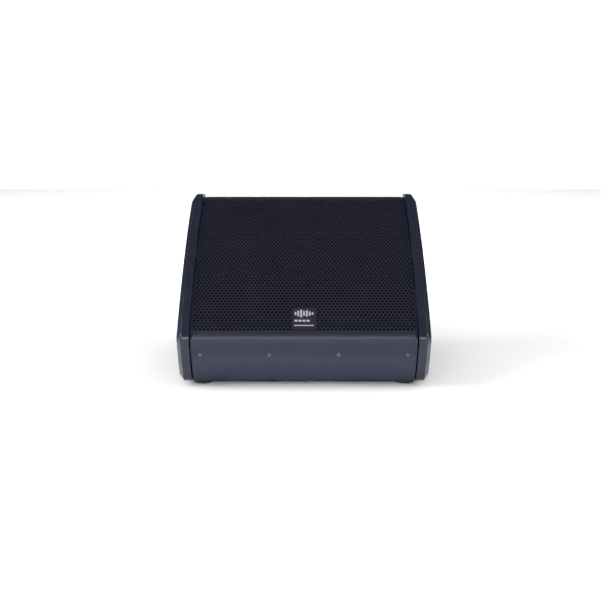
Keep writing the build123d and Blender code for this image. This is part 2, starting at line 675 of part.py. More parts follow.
def amp_board():
    """Main board on four posts, and a control board with the pots and switches on a header."""
    board_top = BOARD_Z + BOARD_T
    control_top = CONTROL_Z + BOARD_T
    board = Pos(-50, 0, 0) * block(140, 136, BOARD_Z, board_top)
    for x in (-112, 10):
        for y in (-61, 61):
            board += Pos(x, y, 0) * rod(3, board_top, 0)
    board += Pos(17, -2, 0) * block(5, 40, board_top, CONTROL_Z)
    board += Pos(67, -2, 0) * block(106, 50, CONTROL_Z, control_top)
    for x, y in (LEVEL_AT, PRESET_AT):
        board += Pos(x, y, 0) * block(15, 15, control_top, -6, 1)
        board -= Pos(x, y, 0) * rod(SHAFT_R + SLIDE_FIT, -10, 0)
    for x, y in (LOW_CUT_AT, LIFT_AT):
        board += Pos(x, y, 0) * block(8, 8, control_top, -9)
    return board


def transformer():
    """Toroidal mains transformer standing on the main board."""
    core = Pos(-82, -24, 0) * tube(34, 12, BOARD_Z + BOARD_T, -9)
    return fillet(core.edges().filter_by(GeomType.CIRCLE), 5)


def capacitors():
    """Reservoir capacitors standing on the board."""
    spots = [(-100, 40), (-72, 40), (-44, 40), (-16, 40), (-16, 12)]
    cans = [Pos(x, y, 0) * rod(11, BOARD_Z + BOARD_T, -8) for x, y in spots]
    return together([chamfer(can.edges().group_by(Axis.Z)[-1], 1.2) for can in cans])


def socket_body():
    """Front plate and barrel shared by the four round sockets, with two fixing screws' heads."""
    face = block(26, 31, PLATE_T, PLATE_T + 2, 3)
    barrel = rod(SOCKET_R - 0.2, -24, PLATE_T)
    heads = [Pos(x, y, 0) * rod(2.4, PLATE_T + 2, PLATE_T + 2.9) for x, y in ((-9.5, 12), (9.5, -12))]
    return face + barrel + heads[0] + heads[1]


def latch_slot(low, high):
    """The slot that the release tab of the signal input slides in."""
    spot = Pos(XLR_IN[0], XLR_IN[1] + LATCH_DOWN, 0)
    return spot * block(LATCH_W + 0.3, LATCH_H + 0.3, low, high)


def xlr_input():
    """Signal input: ring gap round a three-hole insert, and a slot for the release tab."""
    body = socket_body() - (rod(9.6, -12, 20) - rod(7.6, -12, 4.0))
    body -= together([Pos(4.4 * cos(a), 4.4 * sin(a), 0) * rod(1.3, -8, 20) for a in (0.5, pi - 0.5, -pi / 2)])
    return Pos(*XLR_IN, 0) * body - latch_slot(-2, 20)


def input_latch():
    """Release tab of the signal input."""
    tab = block(LATCH_W, LATCH_H, 0.0, PLATE_T + 4.6)
    tab = chamfer(tab.edges().group_by(Axis.Z)[-1], 0.8)
    return Pos(XLR_IN[0], XLR_IN[1] + LATCH_DOWN, 0) * tab


def xlr_link():
    """Signal link output: an open barrel with three pins at its bottom."""
    body = socket_body() - rod(9.6, -14, 20)
    pins = [Pos(4.4 * cos(a), 4.4 * sin(a), 0) * rod(1.2, -14.5, -4) for a in (0.5, pi - 0.5, -pi / 2)]
    return Pos(*XLR_LINK, 0) * (body + pins[0] + pins[1] + pins[2])


def mains_socket(at):
    """Twist-lock mains connector: keyed round well with short contacts at its bottom."""
    well = rod(10.3, -18, 20) + Pos(0, 10.3, 0) * block(4.5, 3, -6, 20)
    body = socket_body() - well
    blades = [Pos(5.5 * cos(a), 5.5 * sin(a), 0) * block(1.2, 3.6, -18.5, -13) for a in (0, 2.1, 4.2)]
    return Pos(*at, 0) * (body + blades[0] + blades[1] + blades[2])


def knob(at, radius, height):
    """Fluted control knob on its shaft, with a raised pointer line."""
    base = PLATE_T + 1
    body = rod(radius, base, base + height)
    body = chamfer(body.edges().group_by(Axis.Z)[-1], 1.2)
    for spot in PolarLocations(radius + 1.1, 12, start_angle=15):
        body -= spot * rod(2, base + 2, base + height + 1)
    pointer = Pos(0, radius * 0.55, 0) * block(1.4, radius * 0.8, base + height, base + height + 0.5)
    return Pos(*at, 0) * (body + pointer + rod(SHAFT_R, -9, base))


def button(at):
    """Push button: a stem through the plate, kept in by a collar behind it."""
    stem = rod(BUTTON_R, -6, PLATE_T + 3)
    stem = chamfer(stem.edges().group_by(Axis.Z)[-1], 0.6)
    return Pos(*at, 0) * (stem + rod(BUTTON_R + 1.2, -2, 0))


ROCKER_PIVOT_Z = 2.6
ROCKER_TILT = 10.0
PIN_R = 1.0


def cross_pin(radius, length):
    return Pos(0, 0, ROCKER_PIVOT_Z) * (Rot(0, 90, 0) * Cylinder(radius, length))


def switch_bezel():
    """Snap-in frame of the power switch, with the rocker's cross pin."""
    frame = block(24, 30, PLATE_T, PLATE_T + 1.6, 2) + block(19.8, 25.8, -12, PLATE_T)
    return Pos(*SWITCH_AT, 0) * (frame - block(15.6, 21.6, -10.5, 20) + cross_pin(PIN_R, 17))


def power_rocker():
    """Rocker: a shallow V-shaped key on the cross pin, resting with its lower end pressed in."""
    outline = Polyline((-10, -3.5), (-10, 2.6), (0, 4.2), (10, 2.6), (10, -3.5), close=True)
    key = extrude(Plane.YZ * make_face(outline), amount=7.5, both=True)
    key = Pos(0, 0, ROCKER_PIVOT_Z) * (Rot(ROCKER_TILT, 0, 0) * key)
    return Pos(*SWITCH_AT, 0) * (key - cross_pin(PIN_R + SLIDE_FIT, 20))


def status_lights():
    """Three light pipes: signal, limiter and on."""
    lens = rod(1.5, -6, PLATE_T) + rod(2.2, PLATE_T, PLATE_T + 1)
    return together([Pos(x, y, 0) * lens for x, y in LIGHTS_AT])


def damping_pad():
    """Slab of acoustic wadding on the bottom panel."""
    mid_y = 215.0
    return Pos(0, mid_y, BASE_Z + PLY) * block(330, 230, 0, 14, 20)


# ---------------------------------------------------------------- internal speaker lead
def lead_route():
    """From the amplifier's tub, down beside the magnet, and up to the driver's terminal."""
    start = (REAR_PLANE.location * Pos(*LEAD_OUT_AT, -HOUSING_DEEP)).position
    end = (DRIVER_PLANE.location * Pos(*TERMINAL_AT, TERMINAL_Z)).position
    inward = Vector(0, -REAR_OUT[0], -REAR_OUT[1])
    under = Vector(0, -OUT_SLOPE[0], -OUT_SLOPE[1])
    return [start, start + inward * 45, Vector(-97, 238, 84), end + under * 50, end]


def speaker_lead():
    """The two-core lead as one round tube: straight runs joined by arcs."""
    points = lead_route()
    radii = []
    for before, here, after in zip(points, points[1:], points[2:]):
        one, two = here - before, after - here
        turn = radians(one.get_angle(two))
        radii.append(0.45 * min(one.length, two.length) / tan(turn / 2))
    print("lead runs", [round((b - a).length) for a, b in zip(points, points[1:])])
    print("lead radii", [round(radius, 1) for radius in radii])
    path = FilletPolyline(*points, radius=radii)
    lead = sweep(Plane(origin=path @ 0, z_dir=path % 0) * Circle(LEAD_R), path=path)
    ratio = lead.volume / (pi * LEAD_R ** 2 * path.length)
    print("lead length", round(path.length, 1), "volume ratio", round(ratio, 4))
    return lead


# ---------------------------------------------------------------- assembly
def cabinet_parts():
    flange_holes = put(flange_places(), screw_hole, SHEET_SCREW)
    crown_holes = put(crown_places(), screw_hole, CROWN_SCREW)
    bolt_holes = [DRIVER_PLANE.location * hole for hole in put(driver_places(), screw_hole, DRIVER_BOLT)]
    plate_holes = [REAR_PLANE.location * hole for hole in put(plate_places(), screw_hole, PLATE_SCREW)]
    parts = {
        "bottom_panel": cut_by(bottom_panel(), *put(sole_places(), screw_hole, SOLE_SCREW)),
        "kick_panel": cut_by(slab(kick_profile(), -KICK_HALF_X, KICK_HALF_X), *flange_holes),
        "rear_panel": cut_by(rear_panel(), *plate_holes),
        "top_rail": cut_by(top_rail(), *crown_holes),
        "baffle": cut_by(baffle(), *bolt_holes),
        "grille": cut_by(grille(), *flange_holes, *crown_holes),
        "grille_foam": grille_foam(),
        "badge_plate": badge_plate(),
        "badge_emblem": badge_emblem(),
        "pole_cup": pole_cup(),
        "damping_pad": damping_pad(),
        "grille_screws": together(
            put(flange_places(), screw, SHEET_SCREW) + put(crown_places(), screw, CROWN_SCREW)
        ),
        "cheek_screws": together(put(cheek_places(-1) + cheek_places(1), screw, CHEEK_SCREW)),
        "foot_screws": together(put(sole_places(), screw, SOLE_SCREW)),
    }
    for name, side in (("left", -1), ("right", 1)):
        holes = put(cheek_places(side), screw_hole, CHEEK_SCREW)
        parts["cheek_" + name] = cut_by(cheek(side), *holes)
        parts["side_panel_" + name] = cut_by(side_panel(side), *holes)
        parts["handle_cup_" + name] = handle_cup(side)
        spot = Pos(side * PORT_X, -PORT_DOWN, 0)
        parts["port_tube_" + name] = BAFFLE_PLANE.location * (spot * port_tube())
    names = ("front_left", "front_right", "rear_left", "rear_right")
    for name, (x, y) in zip(names, FOOT_SPOTS):
        parts["foot_" + name] = Pos(x, y, BASE_Z) * foot()
    return parts


def driver_parts():
    top_plate, ferrite, yoke = magnet_parts()
    hf_body, hf_cap, hf_diaphragm = hf_parts()
    parts = {
        "driver_frame": driver_frame(),
        "driver_gasket": driver_gasket(),
        "woofer_surround": woofer_surround(),
        "woofer_cone": woofer_cone(),
        "voice_coil": voice_coil(),
        "woofer_spider": woofer_spider(),
        "magnet_top_plate": top_plate,
        "ferrite_magnet": ferrite,
        "magnet_yoke": yoke,
        "hf_horn": hf_horn(),
        "hf_driver_body": hf_body,
        "hf_rear_cap": hf_cap,
        "hf_diaphragm": hf_diaphragm,
        "driver_screws": together(put(driver_places(), screw, DRIVER_BOLT)),
    }
    return {name: DRIVER_PLANE.location * shape for name, shape in parts.items()}


def amplifier_parts():
    parts = {
        "amp_plate": amp_plate(),
        "amp_screws": together(put(plate_places(), screw, PLATE_SCREW)),
        "heatsink": heatsink(),
        "amp_housing": amp_housing(),
        "amp_board": amp_board(),
        "transformer": transformer(),
        "capacitors": capacitors(),
        "xlr_input": xlr_input(),
        "input_latch": input_latch(),
        "xlr_link": xlr_link(),
        "mains_inlet": mains_socket(MAINS_IN),
        "mains_link": mains_socket(MAINS_LINK),
        "switch_bezel": switch_bezel(),
        "power_rocker": power_rocker(),
        "level_knob": knob(LEVEL_AT, 10, 12),
        "preset_knob": knob(PRESET_AT, 8, 10),
        "low_cut_button": button(LOW_CUT_AT),
        "ground_lift_button": button(LIFT_AT),
        "status_lights": status_lights(),
    }
    return {name: REAR_PLANE.location * shape for name, shape in parts.items()}


PARTS = {**cabinet_parts(), **driver_parts(), **amplifier_parts(), "speaker_lead": speaker_lead()}
OUTLINE_BOX = PARTS["cheek_right"].bounding_box()
MID_Y = (OUTLINE_BOX.min.Y + OUTLINE_BOX.max.Y) / 2
HOME = Pos(0, -MID_Y, 0)

if __name__ == "__main__":
    os.makedirs("parts", exist_ok=True)
    for name, shape in PARTS.items():
        export_step(HOME * shape, f"parts/{name}.step")
    print(len(PARTS), "nodes, moved back by", round(MID_Y, 3))
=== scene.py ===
import json
from math import acos, asin, cos, pi, radians, sin

import bmesh
import bpy
from mathutils import Euler, Matrix, Vector


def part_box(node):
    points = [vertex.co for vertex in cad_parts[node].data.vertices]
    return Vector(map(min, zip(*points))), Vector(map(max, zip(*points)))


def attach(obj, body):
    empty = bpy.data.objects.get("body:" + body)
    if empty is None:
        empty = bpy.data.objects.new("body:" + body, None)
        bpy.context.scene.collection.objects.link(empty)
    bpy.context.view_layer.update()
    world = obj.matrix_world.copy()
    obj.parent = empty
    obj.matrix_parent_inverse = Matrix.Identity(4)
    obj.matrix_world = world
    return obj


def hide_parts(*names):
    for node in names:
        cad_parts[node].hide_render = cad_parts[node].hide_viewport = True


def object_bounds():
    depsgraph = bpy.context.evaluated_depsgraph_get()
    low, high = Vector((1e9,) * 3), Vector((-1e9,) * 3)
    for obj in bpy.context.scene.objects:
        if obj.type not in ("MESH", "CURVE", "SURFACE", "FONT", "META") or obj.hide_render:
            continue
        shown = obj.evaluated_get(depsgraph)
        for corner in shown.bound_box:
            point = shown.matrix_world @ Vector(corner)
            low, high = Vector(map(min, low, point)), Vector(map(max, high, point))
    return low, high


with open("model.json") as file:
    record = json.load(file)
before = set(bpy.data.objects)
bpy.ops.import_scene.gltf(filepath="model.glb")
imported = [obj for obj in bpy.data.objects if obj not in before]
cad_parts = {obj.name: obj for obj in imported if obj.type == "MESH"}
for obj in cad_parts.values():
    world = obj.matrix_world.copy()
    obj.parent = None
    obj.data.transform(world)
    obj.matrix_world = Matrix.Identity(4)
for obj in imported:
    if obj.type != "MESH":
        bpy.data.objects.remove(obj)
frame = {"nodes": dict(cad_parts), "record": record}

cad_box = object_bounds()
nodes = frame["nodes"]

# Stage monitor wedge. Metres throughout, the listener's side at -Y, the floor at z = 0.
# The wedge's side profile is described by its lean: 0 where a surface faces up, 90 where it faces
# the listener, and more where it turns under.

# ---------------------------------------------------------------- the wedge's driving values
BOW_MIDDLE = Vector((0.0, 0.519302, -0.599))    # middle of the bowed face's circle
FACE_R = 1.0065                                 # outside of the grille
SHEET = 0.0015
BEND_R = 0.020                                  # outside of the bend round the front edge
CREASE_R = 0.004                                # bend at the crown
KICK_LEAN = radians(26.5)
KICK_POINT = Vector((0.0, -0.182798, 0.0395))   # on the kick panel's face
FOAM_THICK = 0.0048
FOAM_GAP = 0.0003                               # between the grille and the foam
FOAM_SPARE = 0.0007                             # room left in front of and behind the foam
FOAM_SIDE, FOAM_END = 0.0005, 0.006             # how far its edges stop short

HOLE_PITCH = 0.007
HOLE_R = 0.0028
HOLE_SIDES = 10
PLAIN_LOW, PLAIN_HIGH = 0.0015, 0.003           # least plain steel below and above the holes
LIP = 0.0008                                    # turned-out lower edge of the flange
BEND_STRIPS = 12
CREASE_STRIPS = 3

REAR_LEAN = asin(0.217643)                      # how far the rear panel's face tips up
DRIVER_LEAN = radians(35.7)
PLATE_THICK = 0.003                             # amplifier plate


# ---------------------------------------------------------------- side profile of the grille
def facing(lean):
    """Unit vector out of a surface of that lean."""
    return Vector((0.0, -sin(lean), cos(lean)))


def along(lean):
    """Unit vector up the surface."""
    return Vector((0.0, cos(lean), sin(lean)))


class GrilleProfile:
    """Path of the grille's outer face: flange, bend, bowed face, crease and top return."""

    def __init__(self):
        low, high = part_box("grille")
        kick_out = facing(pi / 2 + KICK_LEAN)
        flange_face = KICK_POINT + kick_out * SHEET
        reach = -BEND_R - (BOW_MIDDLE - flange_face).dot(kick_out)
        self.bend_lean = KICK_LEAN + asin(reach / (FACE_R - BEND_R))
        self.crease_lean = acos((high.z - CREASE_R - BOW_MIDDLE.z) / (FACE_R - CREASE_R))
        self.bend_middle = BOW_MIDDLE + facing(self.bend_lean) * (FACE_R - BEND_R)
        self.crease_middle = BOW_MIDDLE + facing(self.crease_lean) * (FACE_R - CREASE_R)
        self.kick_lean = pi / 2 + KICK_LEAN
        self.bow_length = FACE_R * (self.bend_lean - self.crease_lean)
        self.bend_length = BEND_R * (self.kick_lean - self.bend_lean)
        self.crease_length = CREASE_R * self.crease_lean
        flange_top = self.bend_middle + kick_out * BEND_R
        self.flange_length = (flange_top.z - low.z) / cos(KICK_LEAN) - SHEET * 0.5
        self.return_length = high.y - self.crease_middle.y
        self.half_width = high.x

    def place(self, x, way, depth=0.0):
        """Point at x, a way up from the foot of the bowed face, and a depth below the face."""
        crease_end = self.bow_length + self.crease_length
        if way < -self.bend_length:
            lean, middle, radius = self.kick_lean, self.bend_middle, BEND_R
            slide = way + self.bend_length
            depth -= max(0.0, LIP - self.flange_length - slide)
        elif way < 0:
            lean, middle, radius = self.bend_lean - way / BEND_R, self.bend_middle, BEND_R
            slide = 0.0
        elif way < self.bow_length:
            lean, middle, radius = self.bend_lean - way / FACE_R, BOW_MIDDLE, FACE_R
            slide = 0.0
        elif way < crease_end:
            lean = self.crease_lean - (way - self.bow_length) / CREASE_R
            middle, radius, slide = self.crease_middle, CREASE_R, 0.0
        else:
            lean, middle, radius = 0.0, self.crease_middle, CREASE_R
            slide = way - crease_end
        point = middle + facing(lean) * (radius - depth) + along(lean) * slide
        return Vector((x, point.y, point.z))


PROFILE = GrilleProfile()


# ---------------------------------------------------------------- helpers for pieces
def finished(name, bm, material, body="cabinet", smooth=True):
    """The bmesh as a piece of the wedge that moves with a body."""
    mesh = bpy.data.meshes.new(name)
    bm.to_mesh(mesh)
    bm.free()
    piece = bpy.data.objects.new(name, mesh)
    bpy.context.scene.collection.objects.link(piece)
    mesh.materials.append(material)
    if smooth is not None:
        mesh.polygons.foreach_set("use_smooth", [smooth] * len(mesh.polygons))
    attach(piece, body)
    return piece


def repeat(bm, geom, count, step):
    """Copies geom count times, each a step further."""
    whole = list(geom)
    for n in range(1, count):
        copy = bmesh.ops.duplicate(bm, geom=geom)["geom"]
        verts = [item for item in copy if isinstance(item, bmesh.types.BMVert)]
        bmesh.ops.translate(bm, verts=verts, vec=step * n)
        whole += copy
    return whole


def edges_on(bm, axis, value):
    """Edges whose two ends lie at that value along an axis."""
    return [e for e in bm.edges if all(abs(v.co[axis] - value) < 1e-6 for v in e.verts)]


def grow(bm, start, steps):
    """Extrudes the edges on the line y = start by each step in turn, as smooth strips."""
    at = start
    for step in steps:
        made = bmesh.ops.extrude_edge_only(bm, edges=edges_on(bm, 1, at))["geom"]
        verts = [item for item in made if isinstance(item, bmesh.types.BMVert)]
        bmesh.ops.translate(bm, verts=verts, vec=(0, step, 0))
        for item in made:
            if isinstance(item, bmesh.types.BMFace):
                item.smooth = True
        at += step


# ---------------------------------------------------------------- procedural finishes
def link(tree, source, target):
    tree.links.new(source, target)


def finish(name, light, dark, rough, swing=0.06, metal=0.0, scale=800.0, bump=0.15, depth=0.0002,
           stretch=(1, 1, 1), turn=(0, 0, 0), pattern="grain", coat=0.0, sheen=0.0, specular=0.5,
           glint=(1, 1, 1)):
    """A finish whose fine pattern sets its colour and relief, over a broad cloudy tone that also swings its
    roughness.
    """
    material = bpy.data.materials.new(name)
    material.use_nodes = True
    tree = material.node_tree
    shader = tree.nodes["Principled BSDF"]
    shader.inputs["Metallic"].default_value = metal
    shader.inputs["Coat Weight"].default_value = coat
    shader.inputs["Coat Roughness"].default_value = 0.2
    shader.inputs["Sheen Weight"].default_value = sheen
    shader.inputs["Specular IOR Level"].default_value = specular
    shader.inputs["Specular Tint"].default_value = (*glint, 1)
    spot = tree.nodes.new("ShaderNodeTexCoord")
    mapping = tree.nodes.new("ShaderNodeMapping")
    mapping.inputs["Scale"].default_value = stretch
    mapping.inputs["Rotation"].default_value = turn
    link(tree, spot.outputs["Object"], mapping.inputs["Vector"])
    value = PATTERNS[pattern](tree, mapping.outputs["Vector"], scale)

    cloud = tree.nodes.new("ShaderNodeTexNoise")
    cloud.inputs["Scale"].default_value = 14.0
    cloud.inputs["Detail"].default_value = 3.0
    link(tree, spot.outputs["Object"], cloud.inputs["Vector"])
    blend = tree.nodes.new("ShaderNodeMath")
    blend.operation = "MULTIPLY_ADD"
    blend.inputs[1].default_value = 0.35
    link(tree, cloud.outputs["Fac"], blend.inputs[0])
    link(tree, value, blend.inputs[2])

    tone = tree.nodes.new("ShaderNodeValToRGB")
    tone.color_ramp.elements[0].color = (*dark, 1)
    tone.color_ramp.elements[1].color = (*light, 1)
    tone.color_ramp.elements[0].position = 0.2
    tone.color_ramp.elements[1].position = 0.95
    link(tree, blend.outputs["Value"], tone.inputs["Fac"])
    link(tree, tone.outputs["Color"], shader.inputs["Base Color"])

    gloss = tree.nodes.new("ShaderNodeMapRange")
    gloss.inputs["To Min"].default_value = rough - swing
    gloss.inputs["To Max"].default_value = rough + swing
    link(tree, cloud.outputs["Fac"], gloss.inputs["Value"])
    link(tree, gloss.outputs["Result"], shader.inputs["Roughness"])

    relief = tree.nodes.new("ShaderNodeBump")
    relief.inputs["Strength"].default_value = bump
    relief.inputs["Distance"].default_value = depth
    link(tree, value, relief.inputs["Height"])
    link(tree, relief.outputs["Normal"], shader.inputs["Normal"])
    return material


def grain(tree, vector, scale):
    """Fine even grain of moulded plastic, cast metal and powder coat."""
    node = tree.nodes.new("ShaderNodeTexNoise")
    node.inputs["Scale"].default_value = scale
    node.inputs["Detail"].default_value = 4.0
    node.inputs["Roughness"].default_value = 0.6
    link(tree, vector, node.inputs["Vector"])
    return node.outputs["Fac"]


def pebbles(tree, vector, scale):
    """Rounded lumps of sprayed structure paint and rubber."""
    node = tree.nodes.new("ShaderNodeTexVoronoi")
    node.feature = "SMOOTH_F1"
    node.inputs["Scale"].default_value = scale
    node.inputs["Smoothness"].default_value = 0.7
    link(tree, vector, node.inputs["Vector"])
    return node.outputs["Distance"]


def cells(tree, vector, scale):
    """Open cells of foam."""
    node = tree.nodes.new("ShaderNodeTexVoronoi")
    node.feature = "DISTANCE_TO_EDGE"
    node.inputs["Scale"].default_value = scale
    link(tree, vector, node.inputs["Vector"])
    return node.outputs["Distance"]


def weave(tree, vector, scale):
    """Crossed threads of cloth."""
    waves = []
    for direction in ("X", "Y"):
        node = tree.nodes.new("ShaderNodeTexWave")
        node.bands_direction = direction
        node.inputs["Scale"].default_value = scale
        node.inputs["Distortion"].default_value = 0.4
        link(tree, vector, node.inputs["Vector"])
        waves.append(node.outputs["Fac"])
    cross = tree.nodes.new("ShaderNodeMath")
    cross.operation = "MULTIPLY"
    link(tree, waves[0], cross.inputs[0])
    link(tree, waves[1], cross.inputs[1])
    return cross.outputs["Value"]


def windings(tree, vector, scale):
    """Side-by-side turns of wire or tape, or the plies of a board, along z."""
    node = tree.nodes.new("ShaderNodeTexWave")
    node.bands_direction = "Z"
    node.inputs["Scale"].default_value = scale
    node.inputs["Distortion"].default_value = 0.6
    link(tree, vector, node.inputs["Vector"])
    return node.outputs["Fac"]


def rings(tree, vector, scale):
    """Concentric ribs round the pattern's z axis."""
    node = tree.nodes.new("ShaderNodeTexWave")
    node.wave_type = "RINGS"
    node.rings_direction = "Z"
    node.inputs["Scale"].default_value = scale
    node.inputs["Distortion"].default_value = 0.2
    link(tree, vector, node.inputs["Vector"])
    return node.outputs["Fac"]


def tracks(tree, vector, scale):
    """Copper tracks and pads under the solder mask of a circuit board."""
    node = tree.nodes.new("ShaderNodeTexBrick")
    node.inputs["Scale"].default_value = scale
    node.inputs["Mortar Size"].default_value = 0.06
    node.offset = 0.37
    link(tree, vector, node.inputs["Vector"])
    return node.outputs["Fac"]


PATTERNS = {
    "grain": grain, "pebbles": pebbles, "cells": cells, "weave": weave,
    "windings": windings, "rings": rings, "tracks": tracks,
}


def grey(value, blue=1.0):
    """A near-neutral colour, with its blue raised by that factor."""
    return (value, value, value * blue)


# The driver and the amplifier are tilted, so patterns that run round or across them are turned too.
DRIVER_TURN = (-DRIVER_LEAN, 0, 0)
REAR_TURN = (-(pi / 2 - REAR_LEAN), 0, 0)

BLUED = (0.72, 0.78, 1.0)      # the black plastic and paint have a blue cast

FINISHES = {
    "cheek_plastic": finish("satin moulded plastic", (0.011, 0.012, 0.022), (0.007, 0.008, 0.015), 0.27,
                            glint=BLUED, scale=1400, bump=0.12, specular=0.5),
    "cup_plastic": finish("matt moulded plastic", grey(0.03, 1.15), grey(0.016, 1.15), 0.55, scale=900,
                          bump=0.25),
    "cabinet_paint": finish("structure paint", (0.019, 0.022, 0.044), (0.013, 0.015, 0.031), 0.36,
                            glint=BLUED, pattern="pebbles", scale=900, bump=0.12),
    "baffle_paint": finish("matt board paint", grey(0.022), grey(0.010), 0.8, scale=500, bump=0.3),
    "grille_paint": finish("powder coat", (0.012, 0.012, 0.021), (0.007, 0.007, 0.013), 0.42, glint=BLUED,
                           pattern="pebbles", scale=2200, bump=0.10),
    "foam_black": finish("open foam", grey(0.010), grey(0.002), 0.95, pattern="cells", scale=600, bump=0.9,
                         depth=0.0006, specular=0.1),
    "wadding": finish("polyester wadding", (0.62, 0.61, 0.57), (0.40, 0.39, 0.36), 0.95, scale=260, bump=0.9,
                      depth=0.002, sheen=0.4, specular=0.1),
    "badge_plate": finish("black badge enamel", grey(0.014, 1.5), grey(0.008, 1.5), 0.30, scale=700,
                          bump=0.05, coat=0.5),
    "badge_mark": finish("silver badge ink", grey(0.30, 1.15), grey(0.22, 1.15), 0.40, metal=0.2, scale=300,
                         stretch=(1, 14, 14), bump=0.1),
    "screw_black": finish("black zinc", grey(0.14, 1.2), grey(0.07, 1.2), 0.38, metal=0.7, scale=900,
                          bump=0.2),
    "pole_cup": finish("black cast metal", grey(0.05, 1.1), grey(0.02, 1.1), 0.45, metal=0.4, scale=700,
                       bump=0.4),
    "foot_rubber": finish("foot rubber", grey(0.020, 1.1), grey(0.009, 1.1), 0.75, pattern="pebbles",
                          scale=1500, bump=0.25),
    "port_plastic": finish("port plastic", grey(0.022), grey(0.012), 0.5, scale=1000, bump=0.2),
    "driver_cast": finish("painted casting", grey(0.07), grey(0.03), 0.48, metal=0.3, scale=650, bump=0.45,
                          depth=0.0003),
    "gasket_foam": finish("gasket foam", grey(0.03), grey(0.01), 0.9, pattern="cells", scale=1600, bump=0.5),
    "surround_cloth": finish("treated cloth", grey(0.05), grey(0.012), 0.62, pattern="weave", scale=420,
                             bump=0.5, turn=DRIVER_TURN, coat=0.2),
    "cone_paper": finish("ribbed paper", grey(0.075), grey(0.03), 0.72, pattern="rings", scale=55, bump=0.5,
                         depth=0.0004, turn=DRIVER_TURN),
    "coil_copper": finish("enamelled wire", (0.80, 0.36, 0.15), (0.36, 0.13, 0.05), 0.3, metal=1.0,
                          pattern="windings", scale=620, bump=0.6, turn=DRIVER_TURN),
    "spider_cloth": finish("impregnated cloth", (0.62, 0.46, 0.20), (0.33, 0.22, 0.08), 0.8, pattern="weave",
                           scale=380, bump=0.6, turn=DRIVER_TURN),
    "magnet_steel": finish("zinc passivated steel", (0.58, 0.56, 0.44), (0.40, 0.38, 0.30), 0.34, metal=1.0,
                           scale=240, stretch=(1, 1, 9), bump=0.15, turn=DRIVER_TURN),
    "ferrite": finish("ferrite", grey(0.10, 1.05), grey(0.035, 1.05), 0.6, pattern="pebbles", scale=420,
                      bump=0.4),
    "horn_plastic": finish("horn plastic", grey(0.030), grey(0.014), 0.42, scale=1100, bump=0.15),
    "diaphragm_foil": finish("diaphragm foil", grey(0.72), grey(0.45), 0.25, metal=1.0, pattern="rings",
                             scale=160, bump=0.3, turn=DRIVER_TURN),
    "plate_paint": finish("panel powder coat", grey(0.034, 1.2), grey(0.018, 1.2), 0.5, pattern="pebbles",
                          scale=1700, bump=0.2),
    "heatsink_black": finish("black anodising", grey(0.045, 1.15), grey(0.02, 1.15), 0.4, metal=0.6,
                             scale=260, stretch=(10, 1, 1), bump=0.15, turn=REAR_TURN),
    "housing_steel": finish("galvanised steel", grey(0.62, 1.03), grey(0.38, 1.03), 0.38, metal=1.0,
                            pattern="pebbles", scale=90, bump=0.05),
    "circuit_board": finish("solder mask", (0.035, 0.20, 0.07), (0.01, 0.06, 0.022), 0.3, pattern="tracks",
                            scale=60, bump=0.2, turn=REAR_TURN, coat=0.4),
    "transformer_wrap": finish("transformer tape", (0.55, 0.40, 0.08), (0.25, 0.16, 0.03), 0.4,
                               pattern="windings", scale=90, bump=0.3, turn=REAR_TURN),
    "capacitor_sleeve": finish("capacitor sleeve", (0.03, 0.05, 0.16), (0.01, 0.015, 0.05), 0.28, scale=300,
                               bump=0.05, coat=0.4),
    "socket_black": finish("socket plastic", grey(0.026), grey(0.012), 0.45, scale=1300, bump=0.15),
    "latch_metal": finish("nickel plate", grey(0.66), grey(0.44), 0.28, metal=1.0, scale=500, bump=0.1),
    "mains_blue": finish("blue connector plastic", (0.012, 0.09, 0.42), (0.006, 0.045, 0.22), 0.42,
                         scale=1100, bump=0.15),
    "mains_grey": finish("grey connector plastic", grey(0.30, 1.05), grey(0.18, 1.05), 0.45, scale=1100,
                         bump=0.15),
    "bezel_black": finish("bezel plastic", grey(0.024), grey(0.012), 0.4, scale=1200, bump=0.15),
    "rocker_plastic": finish("rocker plastic", grey(0.030), grey(0.016), 0.3, scale=900, bump=0.08, coat=0.3),
    "knob_plastic": finish("soft-touch plastic", grey(0.030), grey(0.014), 0.6, scale=1400, bump=0.3,
                           sheen=0.2),
    "button_plastic": finish("button plastic", grey(0.20), grey(0.12), 0.35, scale=1100, bump=0.1),
    "light_pipe": finish("light pipe", (0.20, 0.85, 0.30), (0.08, 0.50, 0.14), 0.18, scale=500, bump=0.05,
                         coat=0.6),
    "lead_jacket": finish("lead jacket", grey(0.028), grey(0.012), 0.5, pattern="pebbles", scale=1200,
                          bump=0.2),
}
PRINT = finish("panel printing", grey(0.80), grey(0.62), 0.6, scale=900, bump=0.1)


def dress_cad_nodes():
    """Gives every CAD node the finish of its slot."""
    for part in frame["record"]["subparts"]:
        node = nodes[part["node"]]
        node.data.materials.clear()
        node.data.materials.append(FINISHES[part["material_slot"]])


